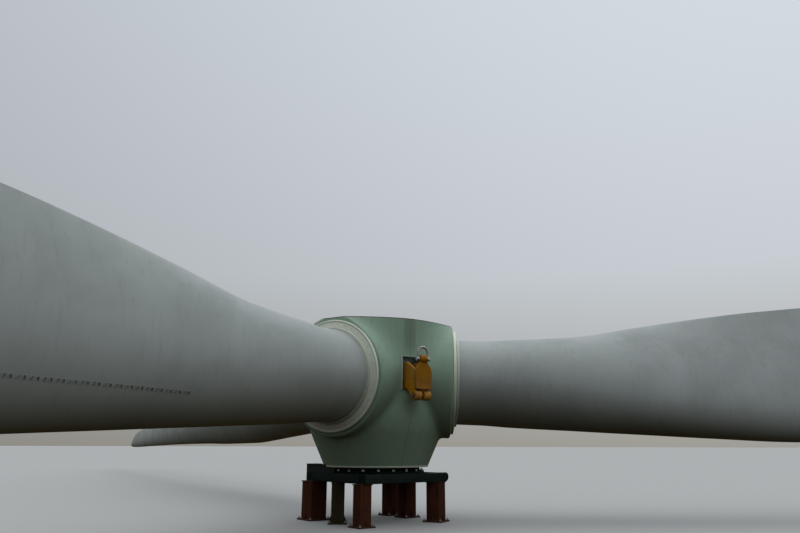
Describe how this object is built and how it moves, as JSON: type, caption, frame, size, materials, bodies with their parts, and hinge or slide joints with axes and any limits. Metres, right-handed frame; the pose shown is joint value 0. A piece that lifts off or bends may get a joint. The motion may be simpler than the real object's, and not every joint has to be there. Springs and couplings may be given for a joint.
{
  "type": "wind turbine rotor on its assembly stand, 1:2 scale model",
  "caption": "Horizontal-axis wind turbine rotor laid flat: hub in a moulded spinner, feathered blades on pitch bearings, lifting arm with shackle, steel assembly stand.",
  "frame": {"origin": "rotor centre, on the rotor axis at the height of the blade ports' middles", "axes": "+Z along the rotor axis towards the nacelle side, which faces up; +X along the first blade"},
  "size_m": [28.8674, 33.3286, 2.3793],
  "materials": {
    "blade_gelcoat": "weathered light grey gelcoat",
    "spinner_gelcoat": "weathered pale green gelcoat",
    "port_lip": "cream gelcoat edge",
    "root_seal": "cream sheet seal",
    "hub_paint": "grey paint on cast iron",
    "bearing_steel": "oiled bearing steel",
    "lifting_paint": "worn yellow paint",
    "galvanised_steel": "dull galvanised steel",
    "stand_paint": "dark green paint, dusty",
    "leg_paint": "red-brown primer, muddy"
  },
  "bodies": {
    "hub_and_stand": {"spinner_segment_1": "spinner_gelcoat", "spinner_segment_2": "spinner_gelcoat", "spinner_segment_3": "spinner_gelcoat", "port_lip_1": "port_lip", "port_lip_2": "port_lip", "port_lip_3": "port_lip", "root_seal_1": "root_seal", "root_seal_2": "root_seal", "root_seal_3": "root_seal", "rim_strut_1": "galvanised_steel", "rim_strut_2": "galvanised_steel", "rim_strut_3": "galvanised_steel", "nose_support_cone": "galvanised_steel", "hub_casting": "hub_paint", "pitch_bearing_outer_1": "bearing_steel", "pitch_bearing_outer_2": "bearing_steel", "pitch_bearing_outer_3": "bearing_steel", "lifting_bracket": "lifting_paint", "pivot_pin": "galvanised_steel", "stand_drum": "stand_paint", "stand_beam_1": "stand_paint", "stand_beam_2": "stand_paint", "stand_beam_3": "stand_paint", "stand_beam_4": "stand_paint", "cross_beam_1": "stand_paint", "cross_beam_2": "stand_paint", "stand_box": "stand_paint", "stand_leg_1": "leg_paint", "stand_leg_2": "leg_paint", "stand_leg_3": "leg_paint", "stand_leg_4": "leg_paint", "stand_leg_5": "leg_paint", "stand_leg_6": "leg_paint"},
    "blade_body_1": {"blade_1": "blade_gelcoat", "rain_collar_1": "blade_gelcoat", "pitch_bearing_inner_1": "bearing_steel"},
    "blade_body_2": {"blade_2": "blade_gelcoat", "rain_collar_2": "blade_gelcoat", "pitch_bearing_inner_2": "bearing_steel"},
    "blade_body_3": {"blade_3": "blade_gelcoat", "rain_collar_3": "blade_gelcoat", "pitch_bearing_inner_3": "bearing_steel"},
    "arm_body": {"lifting_arm": "lifting_paint"},
    "shackle_body": {"shackle_bow": "galvanised_steel", "shackle_pin": "galvanised_steel"}
  },
  "joints": [
    {"name": "pitch_1", "type": "hinge", "parent": "hub_and_stand", "child": "blade_body_1", "pos_m": [0.59963, 0, 0.00906], "axis": [0.9994, 0, -0.0349], "range_deg": [0, 90]},
    {"name": "pitch_2", "type": "hinge", "parent": "hub_and_stand", "child": "blade_body_2", "pos_m": [-0.29982, 0.5193, 0.00906], "axis": [-0.4997, 0.8655, -0.0349], "range_deg": [0, 90]},
    {"name": "pitch_3", "type": "hinge", "parent": "hub_and_stand", "child": "blade_body_3", "pos_m": [-0.29982, -0.5193, 0.00906], "axis": [-0.4997, -0.8655, -0.0349], "range_deg": [0, 90]},
    {"name": "arm_pivot", "type": "hinge", "parent": "hub_and_stand", "child": "arm_body", "pos_m": [0.49982, -0.82571, -0.21], "axis": [0.866, 0.5, 0], "range_deg": [0, 90]},
    {"name": "shackle_swing", "type": "hinge", "parent": "arm_body", "child": "shackle_body", "pos_m": [0.51607, -0.85386, 0.155], "axis": [0.866, 0.5, 0], "range_deg": [-90, 110]}
  ]
}
